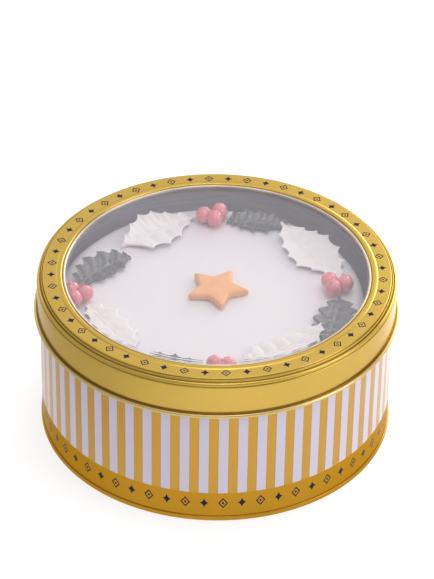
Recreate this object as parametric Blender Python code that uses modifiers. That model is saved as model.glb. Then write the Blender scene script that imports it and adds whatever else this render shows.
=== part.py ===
"""Iced Christmas cake shut in its own round gift tin, with a clear window in the lid.

Metres, +Z up. The origin is the middle of the foot rim, on the surface that the tin stands on.
Every turned piece is a profile of (radius, height) points with a Screw modifier.
"""

import math

import bmesh
import bpy
from mathutils import Vector

MM = 0.001
GAP = 0.3 * MM  # clearance between neighbouring pieces

# Tin
SEGMENTS = 60  # one for each pair of printed stripes
WALL_RADIUS = 82.34 * MM  # outside of the printed body wall
SHEET = 0.5 * MM  # tinplate with its lacquer
FOOT_RADIUS = 82.9 * MM
FOOT_HEIGHT = 2.4 * MM
FOOT_WIDTH = 2.0 * MM
PANEL_TOP = 2.2 * MM  # upper face of the base panel, recessed inside the foot rim
PANEL_SHEET = 0.6 * MM
BODY_TOP = 77.7 * MM  # top of the curl that the lid comes down on
CURL_WIDTH = 1.5 * MM

# Lid
SKIRT_RADIUS = 83.35 * MM
HEM_RADIUS = 85.0 * MM
HEM_BOTTOM = 60.6 * MM
HEM_TOP = 62.5 * MM
HEM_ROUND = 0.95 * MM
SKIRT_TOP = 76.8 * MM
LID_SHEET = 0.6 * MM
RING_HEIGHT = 80.3 * MM  # flat printed ring round the window
RING_EDGE = 80.5 * MM  # where the flat ring ends and the shoulder starts
SHOULDER = ((0.3, -0.55), (0.8, -0.5), (1.2, -1.5), (2.1, -1.8), (2.6, -2.7))  # from the ring's edge
INNER_SHOULDER = ((1.7, -2.3), (1.0, -2.1), (0.1, -1.1), (-0.3, -0.6))
BEAD_START = 72.15 * MM  # groove between the lip and the low bead at the ring's inner edge
BEAD_RADIUS = 73.3 * MM
BEAD_END = 75.6 * MM
BEAD_HEIGHT = 80.6 * MM
LIP_RADIUS = 70.7 * MM  # the window's opening
LIP_BOTTOM = 79.2 * MM
LIP_ROUND = 0.75 * MM
GROOVE_DEPTH = 0.45 * MM  # below the flat ring

# Window, a thermoformed clear sheet under the ring
WINDOW_TOP = 78.85 * MM
WINDOW_SHEET = 0.45 * MM
RIB_FIRST, RIB_LAST, RIB_COUNT, RIB_RISE = 65.8 * MM, 70.0 * MM, 3, 0.15 * MM
FLANGE_START, FLANGE_END, FLANGE_TOP = 72.6 * MM, 79.7 * MM, 79.35 * MM
FLANGE_SHIFT = 0.2 * MM  # the underside's step lies this much further out

# Cake
CAKE_RADIUS = 70.7 * MM
CAKE_CENTRE = (-1.8 * MM, 0.0)  # packed slightly to the left of the tin's middle
CAKE_TOP = 68.0 * MM
CAKE_EDGE = 5.0 * MM  # radius of the iced top edge
CAKE_FOOT = 1.0 * MM

# Star
STAR_CENTRE = (0.0, 0.2 * MM)
STAR_TIP, STAR_NOTCH = 14.9 * MM, 8.0 * MM
STAR_TURN = math.radians(-9)
STAR_ROUND = 1.1 * MM  # radius of each tip
STAR_THICK = 3.6 * MM
STAR_EDGE = 0.9 * MM

# Berries: each sprig's three balls, pressed together, so that they are flat where they meet
BERRY_RADIUS = 4.05 * MM
BERRIES = {
    "back": ((-6.6, 56.9), (0.7, 60.3), (-1.6, 53.9)),
    "right": ((52.3, 4.6), (59.5, 2.4), (53.9, -1.0)),
    "front": ((-0.4, -60.0), (5.6, -61.0), (2.4, -66.0)),
    "left": ((-60.8, -8.3), (-65.6, -12.5), (-67.0, -5.9)),
}

# Holly leaves, in millimetres: stem and tip seen from above, how far the midrib bows outwards, and
# the rise of the edge on the side away from the cake's middle and on the side towards it. outer and
# inner give each spike's place along the leaf, as a share of its length, and its distance from the
# line between stem and tip. deep is the fall between spikes, tip_rise lifts a tip over a neighbour.
GREEN = {"thick": 1.3, "deep": 2.4, "neck": 0.9, "ground": 1.6, "tip_rise": 0.0}
WHITE = {"thick": 1.4, "deep": 1.4, "neck": 1.4, "ground": 1.8, "tip_rise": 0.0}
LEAVES = {
    "leaf_green_back": GREEN | {
        "stem": (4.2, 56.0), "tip": (34.6, 52.0), "bow": 0.5, "rise": (3.0, 0.8),
        "outer": ((0.07, 8.6), (0.27, 9.6), (0.50, 9.6), (0.71, 9.0), (0.90, 5.3)),
        "inner": ((0.12, 3.8), (0.25, 7.2), (0.45, 8.8), (0.66, 8.0), (0.85, 4.4)),
    },
    "leaf_green_right": GREEN | {
        "stem": (56.8, -4.4), "tip": (49.0, -39.5), "bow": 0.5, "rise": (2.8, 1.0),
        "outer": ((0.18, 8.2), (0.34, 11.0), (0.52, 11.0), (0.70, 9.5), (0.86, 6.0)),
        "inner": ((0.17, 5.4), (0.37, 8.2), (0.56, 9.2), (0.74, 8.4), (0.88, 5.0)),
    },
    "leaf_green_front": GREEN | {
        "stem": (-6.0, -56.2), "tip": (-30.2, -50.2), "bow": 2.5, "rise": (2.4, 0.6),
        "outer": ((0.15, 5.6), (0.35, 8.6), (0.55, 9.2), (0.75, 7.6), (0.90, 4.4)),
        "inner": ((0.26, 2.4), (0.53, 3.6), (0.81, 3.1)),
    },
    "leaf_green_left": GREEN | {
        "stem": (-65.2, -0.6), "tip": (-40.8, 24.6), "bow": 3.8, "rise": (4.0, 1.2),
        "outer": ((0.12, 8.2), (0.25, 11.0), (0.43, 13.0), (0.67, 12.2), (0.89, 10.2), (0.99, 6.2)),
        "inner": ((0.21, 3.4), (0.39, 6.0), (0.57, 6.4), (0.76, 5.5)),
    },
    "leaf_white_back": WHITE | {
        "stem": (-11.6, 59.2), "tip": (-45.6, 33.6), "bow": 0.0, "rise": (4.0, 1.6),
        "outer": ((0.14, 5.0), (0.28, 8.6), (0.41, 12.7), (0.57, 13.9), (0.74, 10.3), (0.88, 5.4)),
        "inner": ((0.15, 6.2), (0.36, 12.1), (0.55, 14.5), (0.75, 12.3)),
    },
    "leaf_white_right": WHITE | {
        "stem": (57.6, 9.8), "tip": (30.2, 51.4), "bow": -0.8, "rise": (2.2, 0.9), "tip_rise": 2.8,
        "outer": ((0.07, 5.5), (0.19, 9.9), (0.38, 13.8), (0.59, 14.6), (0.70, 11.8), (0.80, 7.8)),
        "inner": ((0.14, 5.3), (0.25, 8.8), (0.38, 13.6), (0.54, 12.7), (0.69, 11.3), (0.85, 7.5)),
    },
    "leaf_white_front": WHITE | {
        "stem": (11.2, -55.2), "tip": (47.8, -29.8), "bow": 2.4, "rise": (3.4, 0.8), "tip_rise": 3.4,
        "outer": ((0.10, 6.5), (0.24, 10.4), (0.42, 13.0), (0.61, 13.6), (0.80, 12.2), (0.95, 6.5)),
        "inner": ((0.09, 4.6), (0.23, 8.6), (0.36, 8.3), (0.51, 6.2), (0.65, 5.0), (0.84, 4.2)),
    },
    "leaf_white_left": WHITE | {
        "stem": (-59.6, -13.2), "tip": (-36.2, -45.6), "bow": 0.5, "rise": (3.2, 2.0),
        "outer": ((0.13, 6.0), (0.32, 9.2), (0.52, 9.8), (0.72, 8.4), (0.88, 5.0)),
        "inner": ((0.08, 6.8), (0.27, 11.0), (0.53, 10.5), (0.75, 8.7), (0.90, 6.2)),
    },
}
LEAF_ACROSS = 4  # mesh cells across a leaf
LEAF_STEPS = 3  # mesh cells along each scallop
FULL_FALL = 12.0  # millimetres: two spikes whose widths add up to less have a shallower notch
VEIN_SWEEP = 0.06  # share of a leaf's length by which its side veins run forward
SPREAD = 0.8  # power of the veins' curve across a leaf
NECK_TAPER = 0.6  # share of the stem's width that is lost towards the tip
CUPPING = 1.7  # power of the rise from the midrib to the edge


def material(name, colour, roughness, metallic=0.0, clear=0.0):
    """A plain Principled material."""
    made = bpy.data.materials.new(name)
    made.use_nodes = True
    shader = made.node_tree.nodes["Principled BSDF"]
    shader.inputs["Base Color"].default_value = (*colour, 1.0)
    shader.inputs["Roughness"].default_value = roughness
    shader.inputs["Metallic"].default_value = metallic
    shader.inputs["Transmission Weight"].default_value = clear
    return made


def place(name, mesh, finish, location=(0.0, 0.0, 0.0)):
    """Links one named object with its material into the part's collection."""
    obj = bpy.data.objects.new(name, mesh)
    obj.location = location
    mesh.materials.append(finish)
    bpy.data.collections["christmas_cake"].objects.link(obj)
    return obj


def turned(name, profile, finish, closed):
    """A profile turned about Z. closed joins its last point to its first, for a ring-like piece."""
    count = len(profile)
    edges = [(i, (i + 1) % count) for i in range(count if closed else count - 1)]
    mesh = bpy.data.meshes.new(name)
    mesh.from_pydata([(r, 0.0, z) for r, z in profile], edges, [])
    obj = place(name, mesh, finish)
    screw = obj.modifiers.new("turn", "SCREW")
    screw.steps = screw.render_steps = SEGMENTS
    screw.use_merge_vertices = True
    screw.merge_threshold = 0.00001
    screw.use_smooth_shade = True
    return obj


def arc(centre, radius, start, end, steps):
    """Points of an arc in a profile, from one angle to another in degrees, 0 outwards and 90 up."""
    turn = [math.radians(start + (end - start) * i / steps) for i in range(steps + 1)]
    return [(centre[0] + radius * math.cos(a), centre[1] + radius * math.sin(a)) for a in turn]


def make_tin(printed, plate):
    """The open-topped body with its curl, and the base panel seamed in the foot rim."""
    inside = WALL_RADIUS - SHEET
    curl = CURL_WIDTH / 2
    body = arc((WALL_RADIUS - curl, BODY_TOP - curl), curl, 90, 0, 3)
    body += [(WALL_RADIUS, FOOT_HEIGHT + GAP), (inside, FOOT_HEIGHT + GAP)]
    body += [(inside, BODY_TOP - CURL_WIDTH - curl)]
    body += arc((WALL_RADIUS - curl, BODY_TOP - curl), curl, 250, 150, 3)
    turned("tin_body", body, printed, closed=True)

    round_off = 0.45 * MM
    foot_inside = FOOT_RADIUS - FOOT_WIDTH
    base = [(0.0, PANEL_TOP), (foot_inside, PANEL_TOP), (foot_inside + round_off, FOOT_HEIGHT)]
    base += arc((FOOT_RADIUS - round_off, FOOT_HEIGHT - round_off), round_off, 90, 0, 2)
    base += arc((FOOT_RADIUS - round_off, round_off), round_off, 0, -90, 2)
    base += [(foot_inside + round_off, 0.0), (foot_inside, round_off)]
    base += [(foot_inside, PANEL_TOP - PANEL_SHEET), (0.0, PANEL_TOP - PANEL_SHEET)]
    turned("tin_base", base, plate, closed=False)


def make_lid(gold):
    """The pressed lid: lip, groove, low bead, flat ring, stepped shoulder, skirt and rolled hem."""
    groove = RING_HEIGHT - GROOVE_DEPTH
    outer = [(LIP_RADIUS, LIP_BOTTOM)]
    outer += arc((LIP_RADIUS + LIP_ROUND, RING_HEIGHT - LIP_ROUND), LIP_ROUND, 165, 60, 3)
    outer += [(BEAD_START, groove), (BEAD_RADIUS, BEAD_HEIGHT), (BEAD_END, RING_HEIGHT)]
    outer += [(RING_EDGE, RING_HEIGHT)]
    outer += [(RING_EDGE + out * MM, RING_HEIGHT + up * MM) for out, up in SHOULDER]
    outer += [(SKIRT_RADIUS, SKIRT_TOP), (SKIRT_RADIUS, HEM_TOP + HEM_ROUND)]
    middle = (HEM_TOP + HEM_BOTTOM) / 2
    outer += arc((HEM_RADIUS - HEM_ROUND, middle), HEM_ROUND, 70, -70, 4)
    inside = SKIRT_RADIUS - LID_SHEET
    ceiling = RING_HEIGHT - LID_SHEET
    inner = [(inside, HEM_BOTTOM + GAP), (inside, SKIRT_TOP + GAP)]
    inner += [(RING_EDGE + out * MM, RING_HEIGHT + up * MM) for out, up in INNER_SHOULDER]
    inner += [(BEAD_RADIUS, ceiling), (BEAD_START, LIP_BOTTOM + GAP / 2)]
    inner += [(LIP_RADIUS + LID_SHEET, LIP_BOTTOM)]
    turned("lid", outer + inner, gold, closed=True)


def make_window(clear):
    """A clear disc with raised ribs near its edge and a flange that the ring holds."""
    pitch = (RIB_LAST - RIB_FIRST) / RIB_COUNT
    top = [(0.0, WINDOW_TOP), (RIB_FIRST, WINDOW_TOP)]
    for rib in range(RIB_COUNT):
        top.append((RIB_FIRST + pitch * (rib + 0.5), WINDOW_TOP + RIB_RISE))
        top.append((RIB_FIRST + pitch * (rib + 1), WINDOW_TOP))
    slope = FLANGE_TOP - WINDOW_TOP
    top += [(FLANGE_START, WINDOW_TOP), (FLANGE_START + slope, FLANGE_TOP), (FLANGE_END, FLANGE_TOP)]
    under = [(FLANGE_END, FLANGE_TOP - WINDOW_SHEET)]
    under += [(FLANGE_START + slope + FLANGE_SHIFT, FLANGE_TOP - WINDOW_SHEET)]
    under += [(FLANGE_START + FLANGE_SHIFT, WINDOW_TOP - WINDOW_SHEET), (0.0, WINDOW_TOP - WINDOW_SHEET)]
    turned("window", top + under, clear, closed=False)


def make_cake(icing):
    """The whole cake in its sugarpaste, uncut and so one solid."""
    bottom = PANEL_TOP + GAP
    profile = [(0.0, CAKE_TOP)]
    profile += arc((CAKE_RADIUS - CAKE_EDGE, CAKE_TOP - CAKE_EDGE), CAKE_EDGE, 90, 0, 4)
    profile += arc((CAKE_RADIUS - CAKE_FOOT, bottom + CAKE_FOOT), CAKE_FOOT, 0, -90, 1)
    profile += [(0.0, bottom)]
    cake = turned("cake", profile, icing, closed=False)
    cake.location = (*CAKE_CENTRE, 0.0)


def make_star(orange):
    """A five-pointed outline with rounded tips, extruded, its edges rounded by a Bevel."""
    notch_turn = math.pi / 5
    side = math.atan2(STAR_NOTCH * math.sin(notch_turn), STAR_TIP - STAR_NOTCH * math.cos(notch_turn))
    # from the star's middle to the centre of each tip's rounding
    reach = STAR_TIP + STAR_ROUND - STAR_ROUND / math.sin(side)
    outline = []
    for point in range(5):
        turn = STAR_TURN + point * 2 * notch_turn
        x, y = reach * math.cos(turn), reach * math.sin(turn)
        for step in (-1, -0.5, 0, 0.5, 1):
            away = turn + step * (math.pi / 2 - side)
            outline.append((x + STAR_ROUND * math.cos(away), y + STAR_ROUND * math.sin(away)))
        notch = turn + notch_turn
        outline.append((STAR_NOTCH * math.cos(notch), STAR_NOTCH * math.sin(notch)))
    curve = bpy.data.curves.new("star", "CURVE")
    curve.dimensions = "2D"
    curve.fill_mode = "BOTH"
    curve.extrude = STAR_THICK / 2
    spline = curve.splines.new("POLY")
    spline.points.add(len(outline) - 1)
    for point, (x, y) in zip(spline.points, outline):
        point.co = (x, y, 0.0, 1.0)
    spline.use_cyclic_u = True
    star = place("star", curve, orange, (*STAR_CENTRE, CAKE_TOP + GAP + STAR_THICK / 2))
    weld = star.modifiers.new("join_caps", "WELD")
    weld.merge_threshold = 0.00001
    bevel = star.modifiers.new("rounded_edges", "BEVEL")
    bevel.width = STAR_EDGE
    bevel.segments = 2
    bevel.limit_method = "ANGLE"
    bevel.angle_limit = math.radians(60)


def make_berries(red):
    """Each sprig's balls. Where two are pressed together, each is flat short of their middle plane."""
    height = CAKE_TOP + GAP + BERRY_RADIUS
    for sprig, places in BERRIES.items():
        centres = [Vector((x * MM, y * MM, height)) for x, y in places]
        for number, centre in enumerate(centres, 1):
            mesh = bpy.data.meshes.new(f"berry_{sprig}_{number}")
            ball = bmesh.new()
            bmesh.ops.create_icosphere(ball, subdivisions=2, radius=BERRY_RADIUS)
            for other in centres:
                between = other - centre
                reach = between.length / 2 - GAP / 2
                if 0 < between.length < 2 * BERRY_RADIUS + GAP:
                    press(ball, between.normalized(), reach)
            ball.to_mesh(mesh)
            ball.free()
            mesh.shade_smooth()
            place(mesh.name, mesh, red, centre)


def press(ball, direction, reach):
    """Moves every vertex that lies further than reach along direction back onto that plane."""
    for vertex in ball.verts:
        past = vertex.co.dot(direction) - reach
        if past > 0:
            vertex.co -= direction * past


def leaf_edge(leaf, side, along):
    """The leaf's edge on its outer or inner side, along from 0 at the stem to 1 at the tip.

    along counts the spikes evenly, and between two of them the edge falls back in a parabola.
    Returns the share of the leaf's length and the distance from the line of stem and tip.
    """
    spikes = ((0.0, 0.0), *leaf[side], (1.0, 0.0))
    number = min(math.floor(along * (len(spikes) - 1) + 1e-6), len(spikes) - 2)
    part = along * (len(spikes) - 1) - number
    (share, width), (next_share, next_width) = spikes[number:number + 2]
    fall = leaf["deep"] * 4 * part * (1 - part) * min(1.0, (width + next_width) / FULL_FALL)
    return share + (next_share - share) * part, width + (next_width - width) * part - fall


def leaf_point(leaf, along, across):
    """A point of the leaf's upper face, in millimetres. across is -1 inner to 1 outer."""
    stem, tip = Vector(leaf["stem"]), Vector(leaf["tip"])
    axis = (tip - stem).normalized()
    outward = Vector((-axis.y, axis.x))
    outward *= math.copysign(1.0, outward.dot(stem + tip))
    outer_share, outer_width = leaf_edge(leaf, "outer", along)
    inner_share, inner_width = leaf_edge(leaf, "inner", along)
    middle = (outer_share + inner_share) / 2
    midrib = leaf["bow"] * math.sin(math.pi * middle)
    middle -= VEIN_SWEEP * math.sin(math.pi * middle)
    narrowest = leaf["neck"] * (1 - NECK_TAPER * along)
    if across > 0:
        edge_share, edge, rise = outer_share, max(outer_width, midrib + narrowest), leaf["rise"][0]
    else:
        edge_share, edge, rise = inner_share, -max(inner_width, narrowest - midrib), leaf["rise"][1]
    share = middle + (edge_share - middle) * abs(across) ** SPREAD
    sideways = midrib + (edge - midrib) * abs(across)
    flat = stem + axis * (tip - stem).length * share + outward * sideways
    swell = math.sin(math.pi * min(max(share, 0.02), 0.98))
    height = leaf["ground"] + rise * abs(across) ** CUPPING * math.sqrt(swell)
    height += leaf["tip_rise"] * max(share, 0) ** 3
    return Vector((flat.x, flat.y, CAKE_TOP / MM + height))


def make_leaves(green, white):
    """Thin cupped sheets: a grid laid on leaf_point and thickened downwards by Solidify."""
    for name, leaf in LEAVES.items():
        along_cells = LEAF_STEPS * (max(len(leaf["outer"]), len(leaf["inner"])) + 1)
        sheet = bmesh.new()
        bmesh.ops.create_grid(sheet, x_segments=along_cells, y_segments=LEAF_ACROSS, size=1.0)
        for vertex in sheet.verts:
            vertex.co = leaf_point(leaf, (vertex.co.x + 1) / 2, vertex.co.y) * MM
        bmesh.ops.triangulate(sheet, faces=sheet.faces)
        bmesh.ops.recalc_face_normals(sheet, faces=sheet.faces)
        if sum(face.normal.z for face in sheet.faces) < 0:
            bmesh.ops.reverse_faces(sheet, faces=sheet.faces)
        mesh = bpy.data.meshes.new(name)
        sheet.to_mesh(mesh)
        sheet.free()
        mesh.shade_smooth()
        obj = place(name, mesh, green if "green" in name else white)
        solid = obj.modifiers.new("thickness", "SOLIDIFY")
        solid.thickness = leaf["thick"] * MM
        solid.offset = -1.0


def main():
    """Clears the scene and makes every piece."""
    for old in list(bpy.data.objects):
        bpy.data.objects.remove(old)
    group = bpy.data.collections.new("christmas_cake")
    bpy.context.scene.collection.children.link(group)
    gold = material("gold_tinplate", (0.62, 0.40, 0.10), 0.3, metallic=1.0)
    printed = material("striped_tinplate", (0.68, 0.52, 0.30), 0.35, metallic=0.5)
    plate = material("foot_tinplate", (0.55, 0.36, 0.10), 0.3, metallic=1.0)
    clear = material("clear_plastic", (0.95, 0.95, 0.97), 0.1, clear=1.0)
    green = material("green_paste", (0.03, 0.08, 0.04), 0.5)
    white = material("white_paste", (0.80, 0.78, 0.75), 0.5)
    make_tin(printed, plate)
    make_lid(gold)
    make_window(clear)
    make_cake(material("white_icing", (0.82, 0.80, 0.80), 0.6))
    make_star(material("orange_paste", (0.83, 0.33, 0.08), 0.45))
    make_leaves(green, white)
    make_berries(material("red_paste", (0.50, 0.03, 0.04), 0.3))


main()
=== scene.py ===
import math

import bpy
import numpy as np
from mathutils import Matrix, Vector


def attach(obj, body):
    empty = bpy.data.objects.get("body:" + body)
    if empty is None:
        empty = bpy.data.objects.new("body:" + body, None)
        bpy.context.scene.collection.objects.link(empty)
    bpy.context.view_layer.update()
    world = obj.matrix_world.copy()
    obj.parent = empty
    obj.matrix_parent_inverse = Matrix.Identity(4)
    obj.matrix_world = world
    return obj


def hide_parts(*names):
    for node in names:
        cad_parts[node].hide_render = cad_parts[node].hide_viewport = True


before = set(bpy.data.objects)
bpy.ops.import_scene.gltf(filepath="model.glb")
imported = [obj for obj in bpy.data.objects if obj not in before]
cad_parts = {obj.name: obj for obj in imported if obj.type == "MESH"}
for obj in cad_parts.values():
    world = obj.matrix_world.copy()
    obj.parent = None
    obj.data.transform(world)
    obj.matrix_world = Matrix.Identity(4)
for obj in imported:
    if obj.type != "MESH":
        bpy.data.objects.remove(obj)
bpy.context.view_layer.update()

mm = 0.001
scene = bpy.context.scene


def toLinear(hexColour):
    # sRGB hex to linear light, with alpha 1
    parts = [int(hexColour[i:i + 2], 16) / 255 for i in (0, 2, 4)]
    return (*[p / 12.92 if p <= 0.04045 else ((p + 0.055) / 1.055) ** 2.4 for p in parts], 1.0)


def addNode(tree, kind, settings=None, inputs=None):
    # one node; an input given as another node's output is linked, and any other value is set
    node = tree.nodes.new("ShaderNode" + kind)
    for key, value in (settings or {}).items():
        setattr(node, key, value)
    for key, value in (inputs or {}).items():
        if isinstance(value, bpy.types.NodeSocket):
            tree.links.new(value, node.inputs[key])
        else:
            node.inputs[key].default_value = value
    return node


def maths(tree, operation, *values):
    # one Math node with its inputs in order; gives its output
    return addNode(tree, "Math", {"operation": operation}, dict(enumerate(values))).outputs[0]


def mapped(tree, value, span, result, curve="LINEAR"):
    # value carried from span to result and held at its ends, straight or by a smooth step
    inputs = dict(enumerate((value, *span, *result)))
    return addNode(tree, "MapRange", {"interpolation_type": curve}, inputs).outputs[0]


def blended(tree, share, first, second, kind="RGBA"):
    # first where share is 0 and second where it is 1, as colours or as plain numbers
    a, b, result = (6, 7, 2) if kind == "RGBA" else (2, 3, 0)
    return addNode(tree, "Mix", {"data_type": kind}, {0: share, a: first, b: second}).outputs[result]


def scaled(tree, colour, factor):
    return addNode(tree, "VectorMath", {"operation": "SCALE"}, {0: colour, "Scale": factor}).outputs[0]


noiseSpan = (0.3, 0.7)  # where most of a noise's values lie


def noise(tree, place, sizeMm, detail, roughness=0.5):
    # soft noise whose coarsest spots are about sizeMm across
    inputs = {"Vector": place, "Scale": 1.0 / (sizeMm * mm), "Detail": detail, "Roughness": roughness}
    return addNode(tree, "TexNoise", None, inputs).outputs["Fac"]


def newMaterial(name):
    # an empty material with its output node
    made = bpy.data.materials.new(name)
    made.use_nodes = True
    tree = made.node_tree
    tree.nodes.clear()
    return made, tree, addNode(tree, "OutputMaterial")


def finishMaterial(made, tree, output, inputs):
    # puts the principled shader with these inputs on the material's surface
    shader = addNode(tree, "BsdfPrincipled", None, inputs)
    tree.links.new(shader.outputs[0], output.inputs["Surface"])
    return made


def newPiece(name, points, faces, materials, nodeNames, faceMaterials=None):
    # a smooth-shaded mesh piece that rides on the one body and stands for the named nodes
    mesh = bpy.data.meshes.new(name)
    mesh.from_pydata(np.asarray(points, float).tolist(), [], faces)
    for made in materials:
        mesh.materials.append(made)
    if faceMaterials is not None:
        mesh.polygons.foreach_set("material_index", np.asarray(faceMaterials, np.int32))
    mesh.shade_smooth()
    mesh.update()
    piece = bpy.data.objects.new(name, mesh)
    scene.collection.objects.link(piece)
    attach(piece, "root")
    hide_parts(*nodeNames)
    return piece


# Camera and light

cameraValues = {
    "place": (0.00004, -1.04955, 0.8365), "downDegrees": 36.149, "rollDegrees": 0.892,
    "lens": 174.1, "sensor": 36.0, "clipStart": 0.05,
}
lightValues = {
    "sky": "F8F7FC", "skyStrength": 0.60, "aimAt": (0.0, 0.0, 0.04),
    # name: place, width, height, watts, colour
    "boxes": {
        "top": ((0.15, 0.1, 1.7), 1.5, 1.5, 8.2, "FFFEFC"),
        "spot": ((0.12, -0.05, 1.7), 0.22, 0.22, 1.3, "FFF8EC"),
        "back": ((0.6, 2.2, 1.7), 4.0, 1.6, 8.5, "FDFCFF"),
        "keyRight": ((1.5, -0.5, 0.9), 1.0, 1.0, 7.5, "FFFEFC"),
        "front": ((-0.1, -1.25, 1.7), 0.7, 0.5, 1.5, "FFFEFC"),
        "lowRight": ((1.12, 1.66, 0.60), 1.8, 1.2, 25.0, "FFFDF8"),
        "lowLeft": ((-1.3, 1.5, 0.55), 1.2, 1.0, 3.5, "FFFDFC"),
    },
}
floorValues = {
    "paper": "A8A8A8", "roughness": 0.9, "glow": 0.70, "width": 6.0,
    # the camera sees the table glow evenly; what the tin mirrors of it is a painted reflection: a
    # brighter glowing patch behind the tin on the right, and a glow that falls off to the left
    "mirroredPatchCentre": (0.13, 0.20, 0.0), "mirroredPatchGlow": 1.7, "mirroredPatchSpan": (0.03, 0.21),
    "leftGlow": 0.20, "leftSpan": (-0.20, -0.02),
}


def aimed(place, target, roll=0.0):
    # a matrix at place whose -Z looks at target
    turn = (Vector(target) - Vector(place)).to_track_quat("-Z", "Y").to_matrix().to_4x4()
    return Matrix.Translation(place) @ turn @ Matrix.Rotation(roll, 4, "Z")


def makeCamera():
    v = cameraValues
    down, place = math.radians(v["downDegrees"]), Vector(v["place"])
    ahead = place + Vector((0.0, math.cos(down), -math.sin(down)))
    camera = bpy.data.objects.new("camera", bpy.data.cameras.new("camera"))
    camera.data.lens, camera.data.sensor_width = v["lens"], v["sensor"]
    camera.data.clip_start = v["clipStart"]
    camera.matrix_world = aimed(place, ahead, math.radians(v["rollDegrees"]))
    scene.collection.objects.link(camera)
    scene.camera = camera


def makeLight():
    world = bpy.data.worlds.new("studio")
    world.use_nodes = True
    sky = world.node_tree.nodes["Background"]
    sky.inputs["Color"].default_value = toLinear(lightValues["sky"])
    sky.inputs["Strength"].default_value = lightValues["skyStrength"]
    scene.world = world
    for name, (place, width, height, watts, colour) in lightValues["boxes"].items():
        lamp = bpy.data.lights.new(name, "AREA")
        lamp.shape = "RECTANGLE"
        lamp.size, lamp.size_y, lamp.energy = width, height, watts
        lamp.color = toLinear(colour)[:3]
        box = bpy.data.objects.new(name, lamp)
        box.matrix_world = aimed(place, lightValues["aimAt"])
        scene.collection.objects.link(box)


def opalTable():
    # opal acrylic light table, lit from below, so that shadows on it stay faint; its glow is uneven
    # only in what the tin mirrors, a painted reflection
    v = floorValues
    made, tree, output = newMaterial("opalLightTable")
    place = addNode(tree, "TexCoord").outputs["Object"]
    away = addNode(tree, "VectorMath", {"operation": "DISTANCE"}, {0: place, 1: v["mirroredPatchCentre"]})
    glow = mapped(tree, away.outputs["Value"], v["mirroredPatchSpan"], (v["mirroredPatchGlow"], v["glow"]), "SMOOTHSTEP")
    side = addNode(tree, "SeparateXYZ", None, {0: place}).outputs[0]
    fallOff = mapped(tree, side, v["leftSpan"], (v["leftGlow"] / v["glow"], 1.0), "SMOOTHSTEP")
    # painted reflection: the uneven glow that rays other than the camera's see
    mirrored = maths(tree, "MULTIPLY", glow, fallOff)
    fromCamera = addNode(tree, "LightPath").outputs["Is Camera Ray"]
    return finishMaterial(made, tree, output, {
        "Base Color": toLinear(v["paper"]), "Roughness": v["roughness"],
        "Emission Color": toLinear("FFFFFF"),
        "Emission Strength": blended(tree, fromCamera, mirrored, v["glow"], "FLOAT"),
    })


def makeFloor():
    half = floorValues["width"] / 2
    corners = [(-half, -half, 0), (half, -half, 0), (half, half, 0), (-half, half, 0)]
    mesh = bpy.data.meshes.new("floor")
    mesh.from_pydata(corners, [], [(0, 1, 2, 3)])
    mesh.materials.append(opalTable())
    floor = bpy.data.objects.new("floor", mesh)
    scene.collection.objects.link(floor)


makeCamera()
makeLight()
makeFloor()
scene.view_settings.view_transform = "Standard"
print("camera and light ready")


# Turned shapes

def arcRun(centre, radii, start, end, count):
    # points of an ellipse arc: centre plus (a cos t, b sin t), t from start to end in degrees
    turn = np.radians(np.linspace(start, end, count))
    return np.stack([centre[0] + radii[0] * np.cos(turn), centre[1] + radii[1] * np.sin(turn)], 1)


def holdFlats(profile, reach=0.12, longest=0.5):
    # a point is added reach in from each end of every stretch over longest, so that flats shade flat
    ahead = np.roll(profile, -1, 0) - profile
    length = np.maximum(np.hypot(ahead[:, 0], ahead[:, 1]), 1e-9)[:, None]
    first, last = profile + ahead / length * reach, profile + ahead * (1 - reach / length)
    isLong = length[:, 0] > longest
    isLong[-1] = False
    order = np.arange(len(profile), dtype=float)
    points = np.vstack([profile, first[isLong], last[isLong]])
    ranks = np.concatenate([order, order[isLong] + 0.3, order[isLong] + 0.6])
    return points[np.argsort(ranks)]


def turnedFaces(profile, around, closed):
    # a profile point (r, z) at angle a stands at (r cos a, r sin a, z), in millimetres; a point on
    # the axis is one pole with a fan of triangles, and closed joins the profile's ends. The third
    # result is each face's row, counted along the profile
    count = len(profile)
    angle = np.linspace(0, 2 * np.pi, around, endpoint=False)
    ring = np.stack([np.cos(angle), np.sin(angle)], 1)
    points = np.empty((count, around, 3))
    points[:, :, :2] = profile[:, None, :1] * ring[None]
    points[:, :, 2] = profile[:, 1:]
    index = np.arange(count * around).reshape(count, around)
    if closed:
        index = np.vstack([index, index[:1]])
    ahead = np.roll(index, -1, 1)
    quads = np.stack([index[:-1], index[1:], ahead[1:], ahead[:-1]], -1)
    onAxis = profile[:, 0] < 1e-6
    faces = []
    rows = np.arange(len(index) - 1)
    for row in rows:
        cells = quads[row]
        if onAxis[row % count]:
            faces += np.stack([np.full(around, index[row, 0]), cells[:, 1], cells[:, 2]], 1).tolist()
        elif onAxis[(row + 1) % count]:
            faces += np.stack([cells[:, 0], np.full(around, index[row + 1, 0]), cells[:, 3]], 1).tolist()
        else:
            faces += cells.tolist()
    rowOf = np.repeat(rows, around)
    return points.reshape(-1, 3), faces, rowOf


def dropUnused(points, faces):
    # leaves out the spare vertices of the poles
    used, corners = np.unique(np.concatenate(faces), return_inverse=True)
    sizes = np.array([len(face) for face in faces])
    return points[used], [part.tolist() for part in np.split(corners.ravel(), np.cumsum(sizes)[:-1])]


# Finishes of the tin

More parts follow.
